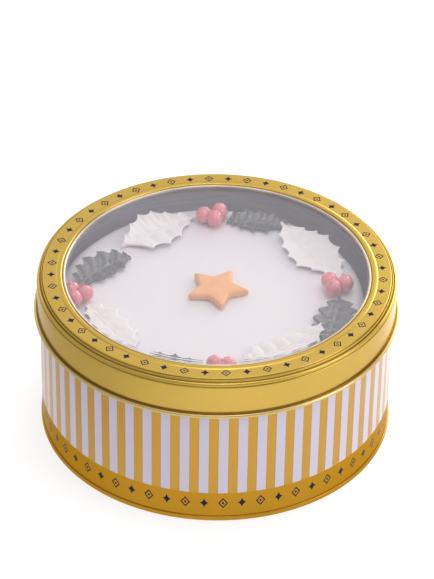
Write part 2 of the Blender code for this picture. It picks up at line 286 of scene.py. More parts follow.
goldValues = {
    # the lacquer's colour, and how much of the varnish lies on it
    # the hem's colour is paler than the ring's: a painted highlight along the rolled hem
    "ring": ("CBA842", 0.75), "hem": ("D8BE78", 0.75), "band": ("B88822", 0.1), "foot": ("B88822", 0.2),
    # groove is the colour of painted shade in the lid's grooves and creases
    "slant": "EBD49A", "groove": "4A2C00", "ink": "221B38", "inkSpecular": 0.15,
    "roughness": 0.30, "roughnessSpread": 0.03, "varnishRoughness": 0.18,
    "grainMm": 0.30, "grainStretch": (1.0, 0.22, 0.22), "grainShade": (0.985, 1.015),
    "cloudMm": 28.0, "cloudShade": (0.97, 1.03), "bump": 0.01, "bumpMm": 0.01,
}
ornamentValues = {
    "wide": 4.6, "power": 0.62, "border": 0.82, "borderHalf": 0.16, "dot": 0.28,
    # how many go round, where the row's middle is, its breadth and the radius that it runs at
    "ring": {"across": "radius", "count": 52, "middle": 76.6, "tall": 4.8, "runsAt": 76.6, "above": 80.0},
    "band": {"across": "height", "count": 60, "middle": 10.05, "tall": 6.2, "runsAt": 82.34},
}
stripeValues = {
    "pairs": 59, "turnDegrees": 87.15, "bottom": 15.9, "gold": "C09024", "white": "CBC4D6",
    "whiteHalf": 0.25, "lineAt": 0.262, "lineHalf": 0.02,  # shares of a pair, from the white's middle
    "lineShade": 0.86, "grainShade": (0.98, 1.02), "roughness": 0.36, "varnish": 0.8,
    "varnishRoughness": 0.20, "slant": "FFF4E0",
}
bareValues = {
    "inside": ("C0BBCC", 0.75), "lip": ("D6CABC", 0.4),  # colour, and the share of matt lacquer
    "streakMm": 1.6, "streakStretch": (0.12, 0.12, 1.0), "shade": (0.85, 1.08), "roughness": (0.28, 0.42),
}


def polar(tree):
    # Object coordinates as turns round the axis, radius and height in millimetres
    place = addNode(tree, "TexCoord").outputs["Object"]
    x, y, z = addNode(tree, "SeparateXYZ", None, {0: place}).outputs
    turns = maths(tree, "DIVIDE", maths(tree, "ARCTAN2", y, x), 2 * math.pi)
    level = addNode(tree, "VectorMath", {"operation": "MULTIPLY"}, {0: place, 1: (1 / mm, 1 / mm, 0.0)})
    radius = addNode(tree, "VectorMath", {"operation": "LENGTH"}, {0: level.outputs[0]})
    return turns, radius.outputs["Value"], maths(tree, "MULTIPLY", z, 1 / mm)


def ornamentRow(tree, row):
    # a row of pointed stars, (|u|/a)^p + (|w|/b)^p < 1 with p below 1, and in every other place an
    # open lozenge, |u|/a + |w|/b near a constant, with a dot; u runs along the row, w across it
    v = ornamentValues
    turns, radius, height = polar(tree)
    across = radius if row["across"] == "radius" else height
    pitch = 2 * math.pi * row["runsAt"] / row["count"]
    along = maths(tree, "MULTIPLY", turns, float(row["count"]))
    evenOdd = maths(tree, "FRACT", maths(tree, "MULTIPLY", maths(tree, "FLOOR", along), 0.5))
    fromMiddle = maths(tree, "ABSOLUTE", maths(tree, "SUBTRACT", maths(tree, "FRACT", along), 0.5))
    u = maths(tree, "MULTIPLY", fromMiddle, 2 * pitch / v["wide"])
    away = maths(tree, "ABSOLUTE", maths(tree, "SUBTRACT", across, row["middle"]))
    w = maths(tree, "DIVIDE", away, row["tall"] / 2)
    powerSum = maths(tree, "ADD", maths(tree, "POWER", u, v["power"]), maths(tree, "POWER", w, v["power"]))
    starShape = maths(tree, "LESS_THAN", powerSum, 1.0)
    plainSum = maths(tree, "ADD", u, w)
    border = maths(tree, "COMPARE", plainSum, v["border"], v["borderHalf"])
    lozenge = maths(tree, "MAXIMUM", border, maths(tree, "LESS_THAN", plainSum, v["dot"]))
    ink = blended(tree, maths(tree, "GREATER_THAN", evenOdd, 0.25), starShape, lozenge, "FLOAT")
    if "above" in row:  # only the flat ring, not the skirt below it
        ink = maths(tree, "MULTIPLY", ink, maths(tree, "GREATER_THAN", height, row["above"]))
    return ink


def goldLacquer(name, finish, row=None, grooveShaded=False):
    # tinplate under a gold lacquer, printed and varnished: the rolled sheet's grain shows as faint
    # streaks, the varnish as a pale sheen at a slant, and the ink is flat and dull. In the grooves,
    # given by the points' groove shade values, painted shade darkens the colour and thins the varnish
    v = goldValues
    hexColour, varnish = v[finish]
    made, tree, output = newMaterial(name)
    place = addNode(tree, "TexCoord").outputs["Object"]
    stretched = addNode(tree, "Mapping", None, {"Vector": place, "Scale": v["grainStretch"]}).outputs[0]
    grain = noise(tree, stretched, v["grainMm"], 3.0)
    fine = mapped(tree, grain, noiseSpan, v["grainShade"])
    broad = mapped(tree, noise(tree, place, v["cloudMm"], 2.0), noiseSpan, v["cloudShade"])
    colour = scaled(tree, toLinear(hexColour)[:3], maths(tree, "MULTIPLY", fine, broad))
    if grooveShaded:
        # painted shade: darker colour and thinner varnish in the grooves
        grooveShade = addNode(tree, "Attribute", {"attribute_name": "grooveShade"}).outputs["Fac"]
        colour = blended(tree, grooveShade, colour, toLinear(v["groove"]))
        varnish = maths(tree, "MULTIPLY", maths(tree, "SUBTRACT", 1.0, grooveShade), varnish)
    rough = (v["roughness"] - v["roughnessSpread"], v["roughness"] + v["roughnessSpread"])
    bump = {"Height": grain, "Strength": v["bump"], "Distance": v["bumpMm"] * mm}
    inputs = {
        "Metallic": 1.0, "Roughness": mapped(tree, grain, noiseSpan, rough),
        "Normal": addNode(tree, "Bump", None, bump).outputs[0], "Specular Tint": toLinear(v["slant"]),
        "Coat Roughness": v["varnishRoughness"],
    }
    if row:
        ink = ornamentRow(tree, row)
        colour = blended(tree, ink, colour, toLinear(v["ink"]))
        metal = maths(tree, "SUBTRACT", 1.0, ink)
        varnish = maths(tree, "MULTIPLY", metal, varnish)
        inputs |= {"Metallic": metal, "Specular IOR Level": v["inkSpecular"]}
    return finishMaterial(made, tree, output, inputs | {"Base Color": colour, "Coat Weight": varnish})


def stripedLacquer():
    # the same sheet printed with pairs of one gold and one white stripe: white is the middle half of
    # a pair, and the print's overlap leaves a thin darker line at each of its edges
    v = stripeValues
    made, tree, output = newMaterial("stripedTinplate")
    place = addNode(tree, "TexCoord").outputs["Object"]
    shift = v["turnDegrees"] / 360 * v["pairs"] + 0.5
    phase = maths(tree, "MULTIPLY_ADD", polar(tree)[0], float(v["pairs"]), shift)
    distance = maths(tree, "ABSOLUTE", maths(tree, "SUBTRACT", maths(tree, "FRACT", phase), 0.5))
    white = maths(tree, "LESS_THAN", distance, v["whiteHalf"])
    line = maths(tree, "COMPARE", distance, v["lineAt"], v["lineHalf"])
    fine = mapped(tree, noise(tree, place, goldValues["grainMm"], 3.0), noiseSpan, v["grainShade"])
    gold = scaled(tree, toLinear(v["gold"])[:3], fine)
    lined = blended(tree, line, gold, scaled(tree, gold, v["lineShade"]))
    return finishMaterial(made, tree, output, {
        "Base Color": blended(tree, white, lined, toLinear(v["white"])),
        "Metallic": maths(tree, "SUBTRACT", 1.0, white), "Roughness": v["roughness"],
        "Coat Weight": v["varnish"], "Coat Roughness": v["varnishRoughness"],
        "Specular Tint": toLinear(v["slant"]),
    })


def bareTinplate(name, finish):
    # unprinted tinplate, cold rolled, under a thin matt lacquer: grey, with long faint streaks
    # along the rolling
    v = bareValues
    hexColour, matt = v[finish]
    made, tree, output = newMaterial(name)
    place = addNode(tree, "TexCoord").outputs["Object"]
    stretched = addNode(tree, "Mapping", None, {"Vector": place, "Scale": v["streakStretch"]}).outputs[0]
    streaks = noise(tree, stretched, v["streakMm"], 4.0)
    shade = mapped(tree, streaks, noiseSpan, v["shade"])
    return finishMaterial(made, tree, output, {
        "Base Color": scaled(tree, toLinear(hexColour)[:3], shade), "Metallic": 1.0 - matt,
        "Roughness": mapped(tree, streaks, noiseSpan, v["roughness"]),
    })


# The tin

tinValues = {
    "around": 480, "wall": 82.34, "sheet": 0.5, "bodyBottom": 2.46, "bodyTop": 77.7, "curl": 0.75,
    "foot": 82.9, "footTall": 2.4, "panel": 81.0,
}
lidValues = {
    "lip": 70.2, "lipBottom": 78.98, "lipRound": 0.6, "lipDrop": 0.62, "ring": 80.3,
    "ringFrom": 75.3, "ringTo": 80.4, "skirt": 83.35,
    "hem": 85.0, "hemRound": 0.95, "hemMiddle": 61.55, "hemStarts": 62.6,
    # points of the profile as radius and height: the groove and the low bead round the window
    "bead": ((71.3, 80.02), (71.42, 79.96), (71.56, 79.98), (71.66, 80.1), (71.76, 80.3), (71.92, 80.48),
             (72.15, 80.57), (72.5, 80.6), (73.3, 80.6), (73.8, 80.56), (74.05, 80.47), (74.2, 80.36),
             (74.32, 80.28), (74.46, 80.24), (74.62, 80.26), (74.85, 80.29)),
    # the two small beads of the shoulder
    "shoulder": ((80.56, 80.2), (80.68, 79.95), (80.78, 79.7), (80.9, 79.6), (81.02, 79.66), (81.1, 79.76),
                 (81.22, 79.8), (81.36, 79.72), (81.48, 79.5), (81.56, 79.2), (81.62, 78.9), (81.7, 78.7),
                 (81.82, 78.62), (81.96, 78.7), (82.15, 78.8), (82.45, 78.74), (82.75, 78.54),
                 (82.98, 78.2), (83.1, 77.8), (83.12, 77.5), (83.03, 77.28), (82.97, 77.1),
                 (83.05, 76.95), (83.22, 76.85), (83.32, 76.7)),
    "overHem": ((83.33, 63.5), (83.26, 63.0), (83.2, 62.7), (83.28, 62.42)),  # the crease above the hem
    "onHem": ((84.74, 62.1), (84.84, 62.02)),  # a small step in the roll
    "inside": ((83.0, 60.9), (82.8, 61.1), (82.75, 62.0), (82.75, 76.9), (82.2, 78.0), (81.5, 78.2),
               (80.6, 79.2), (80.2, 79.7), (72.9, 79.75), (72.2, 79.45), (71.6, 79.3), (71.1, 79.25),
               (70.7, 78.98)),
    # where painted shade darkens the lacquer in grooves and creases: radius, height, width
    "shadedGrooves": ((71.46, 79.98, 0.24), (80.88, 79.62, 0.34), (81.76, 78.66, 0.42), (83.0, 77.15, 0.30),
                 (83.4, 62.1, 0.80)),
    "grooveShadeStrength": 0.75,
}


def makeBody(printed, band, bare):
    # the wall, with its top edge curled inwards
    wall, sheet, top = tinValues["wall"], tinValues["sheet"], tinValues["bodyTop"]
    curl, bottom, edge = tinValues["curl"], tinValues["bodyBottom"], stripeValues["bottom"]
    profile = holdFlats(np.vstack([
        arcRun((wall - curl, top - curl), (curl, curl), 90, 0, 9),
        [(wall, 70.0), (wall, 40.0), (wall, edge), (wall, bottom)],
        [(wall - sheet, bottom), (wall - sheet, 40.0), (wall - sheet, top - 2.4)],
        arcRun((wall - curl, top - curl), (curl, curl), 245, 120, 8),
    ]))
    points, faces, rowOf = turnedFaces(profile, tinValues["around"], True)
    middle = (profile + np.roll(profile, -1, 0)) / 2
    finish = np.where(middle[:, 1] < edge, 1, 0)
    finish = np.where(middle[:, 0] < wall - 0.05, 2, finish)
    newPiece("stripedBody", points * mm, faces, [printed, band, bare], ["tin_body"],
             finish[rowOf])


def makeFoot(gold, bare):
    # a rolled rim with the base panel set in it; the panel has one pressed step, seen from below
    foot, tall = tinValues["foot"], tinValues["footTall"]
    profile = holdFlats(np.vstack([
        [(0.0, 2.2), (70.0, 2.2), (80.9, 2.2), (81.35, 2.38)],
        arcRun((foot - 0.5, tall - 0.5), (0.5, 0.5), 90, 0, 8),
        arcRun((foot - 0.4, 0.4), (0.4, 0.4), 0, -90, 8),
        arcRun((81.5, 0.6), (0.6, 0.6), -90, -180, 8),
        [(80.9, 1.45), (80.7, 1.6), (72.0, 1.6), (71.2, 1.75), (0.0, 1.75)],
    ]))
    points, faces, rowOf = turnedFaces(profile, tinValues["around"], False)
    points, faces = dropUnused(points, faces)
    middle = (profile[:-1] + profile[1:]) / 2
    finish = np.where(middle[:, 0] < tinValues["panel"], 1, 0)
    newPiece("footRim", points * mm, faces, [gold, bare], ["tin_base"], finish[rowOf])


def makeLid(gold, lip, rolled):
    # the pressed profile runs from the window's lip over a groove, the low bead, the flat ring and
    # the stepped shoulder, down the skirt to the rolled hem, and back up one sheet's thickness
    # inside; the painted groove shade is the sum of exp(-(d/w)^2) over the grooves, d being the distance
    # from each
    v = lidValues
    ring, skirt, roundLip = v["ring"], v["skirt"], v["lipRound"]
    hem, hemSize = (v["hem"] - v["hemRound"], v["hemMiddle"]), (v["hemRound"], v["hemRound"])
    lipMiddle = (v["lip"] + roundLip, ring - v["lipDrop"])
    lipRun = np.vstack([[(v["lip"], v["lipBottom"])], arcRun(lipMiddle, (roundLip, roundLip), 180, 50, 14)])
    profile = holdFlats(np.vstack([
        lipRun, v["bead"], [(v["ringFrom"], ring), (v["ringTo"], ring)], v["shoulder"],
        [(skirt, 76.4), (skirt, 70.0), (skirt, 64.2)], v["overHem"],
        arcRun(hem, hemSize, 130, 46, 9), v["onHem"], arcRun(hem, hemSize, 24, -130, 15), v["inside"],
    ]))
    points, faces, rowOf = turnedFaces(profile, tinValues["around"], True)
    middle = (profile + np.roll(profile, -1, 0)) / 2
    # the hem's faces take the paler lacquer, a painted highlight
    finish = np.where((middle[:, 1] < v["hemStarts"]) & (middle[:, 0] > skirt - 0.05), 2, 0)
    finish[:len(lipRun)] = 1
    piece = newPiece("goldLid", points * mm, faces, [gold, lip, rolled], ["lid"],
                     finish[rowOf])
    place = np.array(v["shadedGrooves"])
    away = np.hypot(profile[:, :1] - place[:, 0], profile[:, 1:] - place[:, 1])
    # painted shade strength per point, from each point's distance to the grooves
    grooveShade = v["grooveShadeStrength"] * np.exp(-(away / place[:, 2]) ** 2).sum(1).clip(0, 1)
    values = np.repeat(grooveShade, tinValues["around"]).astype(np.float32)
    piece.data.attributes.new("grooveShade", "FLOAT", "POINT").data.foreach_set("value", values)


bareInside = bareTinplate("bareTinplate", "inside")
makeBody(stripedLacquer(), goldLacquer("goldBandTinplate", "band", ornamentValues["band"]), bareInside)
makeFoot(goldLacquer("goldFootTinplate", "foot"), bareInside)
makeLid(goldLacquer("goldLidTinplate", "ring", ornamentValues["ring"], grooveShaded=True),
        bareTinplate("lipTinplate", "lip"), goldLacquer("goldHemPaintedSheenTinplate", "hem", grooveShaded=True))
print("tin and lid ready")


# Window

windowValues = {
    "top": 78.85, "sheet": 0.45, "ribFirst": 65.8, "ribLast": 70.0, "ribs": 3, "ribRise": 0.07,
    "ribEven": 0.02, "ribFade": 3, "flangeStart": 72.6, "flangeEnd": 79.7, "flangeTop": 79.35,
    "tint": "FCFCFB", "ior": 1.5, "scuff": "E9E6F2",
    "hazeSpan": (69.0, 70.7), "haze": (0.045, 0.26),  # radii, and the haze's share at each
}


def clearSheet():
    # PET sheet, thermoformed: clear and glossy, with a faint milky haze of fine scuffs, which grows
    # where the sheet was drawn, near its edge. Lamps and soft light pass it straight, and it bends
    # only what is looked at through it
    v = windowValues
    made, tree, output = newMaterial("clearPetSheet")
    tint = toLinear(v["tint"])
    glass = addNode(tree, "BsdfGlass", None, {"Color": tint, "Roughness": 0.0, "IOR": v["ior"]})
    straight = addNode(tree, "BsdfTransparent", None, {"Color": tint})
    scuffs = addNode(tree, "BsdfDiffuse", None, {"Color": toLinear(v["scuff"])})
    normal = addNode(tree, "NewGeometry").outputs["Normal"]
    upward = addNode(tree, "SeparateXYZ", None, {0: normal}).outputs[2]
    drawn = mapped(tree, polar(tree)[1], v["hazeSpan"], v["haze"], "SMOOTHSTEP")
    haze = maths(tree, "MULTIPLY", maths(tree, "GREATER_THAN", upward, 0.5), drawn)  # on upper faces only
    sheet = addNode(tree, "MixShader", None, {0: haze, 1: glass.outputs[0], 2: scuffs.outputs[0]})
    path = addNode(tree, "LightPath").outputs
    soft = maths(tree, "MAXIMUM", path["Is Shadow Ray"], path["Is Diffuse Ray"])
    shader = addNode(tree, "MixShader", None, {0: soft, 1: sheet.outputs[0], 2: straight.outputs[0]})
    tree.links.new(shader.outputs[0], output.inputs["Surface"])
    return made


def makeWindow(clear):
    # the upper face carries the ribs, each a raised cosine, pressed deepest at the front, by
    # e + (1 - e) s^3 with s = max(0, -sin a), and the lower face is plain
    v = windowValues
    top, flangeTop, sheet = v["top"], v["flangeTop"], v["sheet"]
    start, end = v["flangeStart"], v["flangeEnd"]
    slope, under = flangeTop - top, top - sheet
    pitch = (v["ribLast"] - v["ribFirst"]) / v["ribs"]
    across = np.linspace(v["ribFirst"], v["ribLast"], v["ribs"] * 12 + 1)
    rise = v["ribRise"] * 0.5 * (1 - np.cos(2 * np.pi * (across - v["ribFirst"]) / pitch))
    profile = np.vstack([
        [(0.0, top), (40.0, top), (v["ribFirst"] - 0.4, top)],
        np.stack([across, top + rise], 1),
        [(71.0, top), (start, top), (start + slope, flangeTop), (end, flangeTop)],
        [(end, flangeTop - sheet), (start + slope + 0.2, flangeTop - sheet)],
        [(start + 0.2, under), (71.0, under), (v["ribFirst"], under), (40.0, under), (0.0, under)],
    ])
    points, faces, _ = turnedFaces(profile, tinValues["around"], False)
    points, faces = dropUnused(points, faces)
    x, y, z = points.T
    towardsFront = np.maximum(0, -y / np.maximum(np.hypot(x, y), 1e-6))
    isRib = (z > top) & (z < top + v["ribRise"] + 0.001)
    depth = v["ribEven"] + (1 - v["ribEven"]) * towardsFront ** v["ribFade"]
    points[:, 2] += (z - top) * (depth - 1) * isRib
    newPiece("clearWindow", points * mm, faces, [clear], ["window"])


makeWindow(clearSheet())
print("window ready")


# Sugarpaste

pasteValues = {
    "toneSpan": (0.32, 0.68), "roughnessSpread": 0.06, "bump": 0.25, "bumpMm": 0.05,
    "scatterMm": 2.2, "scatterColour": (1.0, 0.72, 0.55), "glazeRoughness": 0.14, "glazeIor": 1.65,
}


def sugarpaste(name, paste):
    # sugarpaste, rolled or pressed by hand: soft, faintly translucent, with a fine starchy grain
    # and slow changes of tone
    v = pasteValues
    made, tree, output = newMaterial(name)
    place = addNode(tree, "TexCoord").outputs["Object"]
    slow = noise(tree, place, paste["mottleMm"], 2.0)
    fine = noise(tree, place, paste["grainMm"], 4.0, 0.6)
    tone = mapped(tree, slow, v["toneSpan"], (0.0, 1.0))
    rough = (paste["roughness"] - v["roughnessSpread"], paste["roughness"] + v["roughnessSpread"])
    bump = {"Height": fine, "Strength": v["bump"], "Distance": v["bumpMm"] * mm}
    return finishMaterial(made, tree, output, {
        "Base Color": blended(tree, tone, toLinear(paste["deep"]), toLinear(paste["colour"])),
        "Roughness": mapped(tree, fine, noiseSpan, rough),
        "Normal": addNode(tree, "Bump", None, bump).outputs[0],
        "Subsurface Weight": paste["scatter"], "Subsurface Scale": v["scatterMm"] * mm,
        "Subsurface Radius": v["scatterColour"], "Coat Weight": paste["glaze"],
        "Coat Roughness": v["glazeRoughness"], "Coat IOR": v["glazeIor"],
    })


# Cake

cakeValues = {
    "radius": 70.7, "centre": (-1.8, 0.0), "top": 68.0, "bottom": 2.5, "edge": 5.0, "around": 360,
    "swellAt": 163.0, "swellWide": 24.0, "swell": 1.6, "wave": 0.0022, "sag": 0.10,
    "paste": {"colour": "E3DEE3", "deep": "E3DCE5", "roughness": 0.55, "scatter": 0.3, "glaze": 0.0,
              "grainMm": 0.8, "mottleMm": 30.0},
}


def makeCake(icing):
    # a turned block with a rounded top edge; the paste's thickness changes by a sum of slow waves,
    # and it swells by s exp(-(da/w)^2) near the rim at one place, da being the angle from it
    v = cakeValues
    shoulder = v["radius"] - v["edge"]
    profile = np.vstack([
        np.stack([np.linspace(0, shoulder - 1, 18), np.full(18, v["top"])], 1),
        arcRun((shoulder, v["top"] - v["edge"]), (v["edge"], v["edge"]), 90, 0, 18),
        np.stack([np.full(10, v["radius"]), np.linspace(58, 5, 10)], 1),
        arcRun((v["radius"] - 1.0, v["bottom"] + 1.0), (1.0, 1.0), 0, -90, 5),
        [(40.0, v["bottom"]), (0.0, v["bottom"])],
    ])
    points, faces, _ = turnedFaces(profile, v["around"], False)
    points, faces = dropUnused(points, faces)
    x, y, z = points.T
    around = np.arctan2(y, x)
    wave = np.sin(3 * around + 0.4) + 0.6 * np.sin(7 * around + 1.9) + 0.3 * np.sin(13 * around)
    rim = np.clip((z - 4) / 20, 0, 1) * np.clip(np.hypot(x, y) / 60, 0, 1) ** 6
    swell = v["swell"] / v["radius"] * np.exp(-((np.degrees(around) - v["swellAt"]) / v["swellWide"]) ** 2)
    push = 1 + (swell - v["wave"] * np.abs(wave)) * rim
    sag = v["sag"] * (np.sin(x / 17 + 0.5) * np.cos(y / 21) - 1) * (z > 60)
    left, ahead = v["centre"]
    points = np.stack([x * push + left, y * push + ahead, z + sag], 1)
    newPiece("icedCake", points * mm, faces, [icing], ["cake"])


makeCake(sugarpaste("rolledIcing", cakeValues["paste"]))
print("cake ready")


# Star

starValues = {
    "centre": (0.0, 0.2), "tip": 14.8, "notch": 8.1, "turn": -9.0, "bottom": 68.3, "thick": 3.6,
    "edge": 1.5, "lowEdge": 0.8, "trim": 0.9, "dome": 0.22, "squash": 0.95,
    "paste": {"colour": "EFAC6C", "deep": "EAA05C", "roughness": 0.42, "scatter": 0.25, "glaze": 0.1,
              "grainMm": 0.9, "mottleMm": 6.0},
}


def makeStar(paste):
    # five tips joined to five notches by straight sides, each corner rounded by a short moving
    # average. Every ring is the outline shrunk towards the centre, which keeps its sides parallel:
    # at e(1 - sin t) below the top they are e(1 - cos t) further in, d being their distance from
    # the centre, and likewise at the lower edge; the middle rises in a low dome
    v = starValues
    corner = np.arange(10)
    reach = np.where(corner % 2 == 0, v["tip"] + v["trim"], v["notch"])
    angle = np.radians(v["turn"]) + corner * np.pi / 5
    sharp = np.stack([reach * np.cos(angle), reach * np.sin(angle)], 1)
    share = np.linspace(0, 1, 48, endpoint=False)[None, :, None]
    line = (sharp[:, None] * (1 - share) + np.roll(sharp, -1, 0)[:, None] * share).reshape(-1, 2)
    for _ in range(2):
        line = sum(np.roll(line, k, 0) for k in range(-6, 7)) / 13
    side = sharp[1] - sharp[0]
    distance = abs(sharp[0][0] * side[1] - sharp[0][1] * side[0]) / np.hypot(*side)
    turn = np.radians([-70, -45, -20, 0, 15, 30, 45, 60, 75, 90])
    low, high, soft = v["lowEdge"], v["edge"], v["thick"] - v["edge"]
    inset = np.where(turn < 0, low, high) * (1 - np.cos(turn))
    level = np.where(turn < 0, low * (1 + np.sin(turn)), soft + high * np.sin(turn))
    crown = np.array([0.62, 0.48, 0.34, 0.2, 0.08])
    scale = np.concatenate([[0.6], 1 - inset / distance, crown])
    dome = v["dome"] * (1 - (crown / 0.76) ** 2)
    level = np.concatenate([[level[0] - 0.04], level, level[-1] + dome])
    count, around = len(scale), len(line)
    flat = line[None] * scale[:, None, None]
    height = np.broadcast_to(level[:, None, None], (count, around, 1))
    rings = np.concatenate([flat, height], -1).reshape(-1, 3)
    points = np.vstack([rings, [(0, 0, level[0]), (0, 0, level[-1] + 0.02)]])
    points = points * (1, 1, v["squash"]) + (*v["centre"], v["bottom"])
    index = np.arange(count * around).reshape(count, around)
    ahead = np.roll(index, -1, 1)
    quads = np.stack([index[:-1], ahead[:-1], ahead[1:], index[1:]], -1).reshape(-1, 4).tolist()
    under, over = count * around, count * around + 1
    fans = [[under, b, a] for a, b in zip(index[0].tolist(), ahead[0].tolist())]
    fans += [[over, a, b] for a, b in zip(index[-1].tolist(), ahead[-1].tolist())]
    newPiece("orangeStar", points * mm, quads + fans, [paste], ["star"])


makeStar(sugarpaste("orangePaste", starValues["paste"]))
print("star ready")


# Berries

berryValues = {
    "radius": 4.05, "lift": 68.3, "down": 33, "around": 48, "wander": 0.012, "near": 0.3, "squeeze": 0.06,
    "sprigs": {
        "back": ((-6.6, 56.9), (0.7, 60.3), (-1.6, 53.9)),
        "right": ((52.3, 4.6), (59.5, 2.4), (53.9, -1.0)),
        "front": ((-0.4, -60.0), (5.6, -61.0), (2.4, -66.0)),
        "left": ((-60.8, -8.3), (-65.6, -12.5), (-67.0, -5.9)),
    },
    "paste": {"colour": "E87A85", "deep": "D05C6C", "roughness": 0.30, "scatter": 0.20, "glaze": 1.0,
              "grainMm": 1.2, "mottleMm": 4.0},
}


def makeBerries(paste):
    # a ball whose radius wanders by two crossed waves, flat where it meets a neighbour: a point
    # past the middle plane is moved back onto it
    v = berryValues
    down = np.linspace(0, np.pi, v["down"])
    profile = np.stack([np.sin(down), np.cos(down)], 1)
    profile[[0, -1], 0] = 0.0
    unit, faces, _ = turnedFaces(profile, v["around"], False)
    unit, faces = dropUnused(unit, faces)
    first, second = unit @ (2.1, -1.3, 1.7) * 1.6, unit @ (1.1, 2.2, -0.9) * 1.3
    for sprig, places in v["sprigs"].items():
        centres = [np.array([x, y, v["lift"] + v["radius"]]) for x, y in places]
        for number, centre in enumerate(centres, 1):
            seed = np.array([1.7, 2.3]) * number + len(sprig)
            wander = 1 - v["wander"] * (1 + np.sin(first + seed[0]) * np.cos(second + seed[1]))
            ball = unit * wander[:, None] * v["radius"]
            for other in centres:
                between = other - centre
                length = np.linalg.norm(between)
                if 0 < length < 2 * v["radius"] + v["near"]:
                    way = between / length
                    past = np.maximum(ball @ way - (length / 2 - v["squeeze"]), 0)
                    ball = ball - past[:, None] * way
            name, node = f"berry{sprig.title()}{number}", f"berry_{sprig}_{number}"
            newPiece(name, (ball + centre) * mm, faces, [paste], [node])


makeBerries(sugarpaste("redPaste", berryValues["paste"]))
print("berries ready")


# Leaves

leafValues = {
    "along": 360, "across": 64,
    "green": {"thick": 1.3, "deep": 4.0, "neck": 0.9, "ground": 1.6, "tipRise": 0.0, "lobed": 0.0,
              "soft": 3, "notch": {"outer": 0.56, "inner": 0.40}, "crest": 0.70, "pillow": 1.8, "vein": 0.45,
              "sweep": 0.25,
              "paste": {"colour": "5E5E63", "deep": "535459", "roughness": 0.40, "scatter": 0.05,
                        "glaze": 0.6, "grainMm": 0.7, "mottleMm": 5.0}},
    "white": {"thick": 1.5, "deep": 3.0, "neck": 1.4, "ground": 1.8, "tipRise": 0.0, "lobed": 0.0,
              "soft": 4, "notch": {"outer": 0.5, "inner": 0.45}, "crest": 0.55, "pillow": 0.55, "vein": 0.16,
              "sweep": 0.12,
              "paste": {"colour": "EAE3E6", "deep": "E4DADD", "roughness": 0.55, "scatter": 0.3,
                        "glaze": 0.0, "grainMm": 0.7, "mottleMm": 8.0}},
    # stem and tip seen from above, how far the midrib bows outwards, the rise of the outer and the
    # inner edge, and each spike's share of the length and distance from the line of stem and tip
    "greenBack": {"stem": (4.2, 56.0), "tip": (34.6, 52.0), "bow": 0.5, "rise": (3.0, 0.8),
                  "outer": ((0.07, 8.6), (0.27, 9.6), (0.50, 9.6), (0.71, 9.0), (0.90, 5.3)),
                  "inner": ((0.12, 3.8), (0.25, 7.2), (0.45, 8.8), (0.66, 8.0), (0.85, 4.4))},
    "greenRight": {"stem": (56.8, -4.4), "tip": (49.0, -39.5), "bow": 0.5, "rise": (2.8, 1.0),
                   "outer": ((0.18, 8.2), (0.34, 11.0), (0.52, 11.0), (0.70, 9.5), (0.86, 6.0)),
                   "inner": ((0.17, 5.4), (0.37, 8.2), (0.56, 9.2), (0.74, 8.4), (0.88, 5.0)),
                   "lobed": 0.8, "notch": {"outer": 0.35, "inner": 0.30}, "crest": 0.55, "sweep": 0.42,
                   "vein": 0.35},
    "greenFront": {"stem": (-6.0, -56.2), "tip": (-30.2, -50.2), "bow": 2.5, "rise": (2.4, 0.6),
                   "outer": ((0.15, 5.6), (0.35, 8.6), (0.55, 9.2), (0.75, 7.6), (0.90, 4.4)),
                   "inner": ((0.26, 2.4), (0.53, 3.6), (0.81, 3.1))},
    "greenLeft": {"stem": (-65.2, -0.6), "tip": (-40.8, 24.6), "bow": 3.8, "rise": (4.0, 1.2),
                  "outer": ((0.12, 8.2), (0.25, 11.0), (0.43, 13.0), (0.67, 12.2), (0.89, 10.2),
                            (0.99, 6.2)),
                  "inner": ((0.21, 3.4), (0.39, 6.0), (0.57, 6.4), (0.76, 5.5)),
                  "lobed": 0.3, "pillow": 2.3},
    "whiteBack": {"stem": (-11.6, 59.2), "tip": (-45.6, 33.6), "bow": 0.0, "rise": (4.0, 1.6),
                  "outer": ((0.14, 5.0), (0.28, 8.6), (0.41, 12.7), (0.57, 13.9), (0.74, 10.3),
                            (0.88, 5.4)),
                  "inner": ((0.15, 6.2), (0.36, 12.1), (0.55, 14.5), (0.75, 12.3))},
    "whiteRight": {"stem": (57.6, 9.8), "tip": (30.2, 51.4), "bow": -0.8, "rise": (2.2, 0.9),
                   "outer": ((0.07, 5.5), (0.19, 9.9), (0.38, 13.8), (0.59, 14.6), (0.70, 11.8),
                             (0.80, 7.8)),
                   "inner": ((0.14, 5.3), (0.25, 8.8), (0.38, 13.6), (0.54, 12.7), (0.69, 11.3),
                             (0.85, 7.5)),
                   "tipRise": 2.8},
    "whiteFront": {"stem": (11.2, -55.2), "tip": (47.8, -29.8), "bow": 2.4, "rise": (3.4, 0.8),
                   "outer": ((0.10, 6.5), (0.24, 10.4), (0.42, 13.0), (0.61, 13.6), (0.80, 12.2),
                             (0.95, 6.5)),
                   "inner": ((0.09, 4.6), (0.23, 8.6), (0.36, 8.3), (0.51, 6.2), (0.65, 5.0), (0.84, 4.2)),
                   "tipRise": 3.4},
    "whiteLeft": {"stem": (-59.6, -13.2), "tip": (-36.2, -45.6), "bow": 0.5, "rise": (0.7, 0.5),
                  "outer": ((0.13, 6.0), (0.32, 9.2), (0.52, 9.8), (0.72, 8.4), (0.88, 5.0)),
                  "inner": ((0.08, 6.8), (0.27, 11.0), (0.53, 10.5), (0.75, 8.7), (0.90, 6.2)),
                  "ground": 1.4, "pillow": 0.25, "vein": 0.04},
}


def smoothed(values, reach):
    # a moving average that leaves the two ends in place
    before, after = 2 * values[0] - values[reach:0:-1], 2 * values[-1] - values[-2:-reach - 2:-1]
    padded = np.concatenate([before, values, after])
    weights = np.hanning(2 * reach + 3)[1:-1]
    return np.convolve(padded, weights / weights.sum(), "valid")


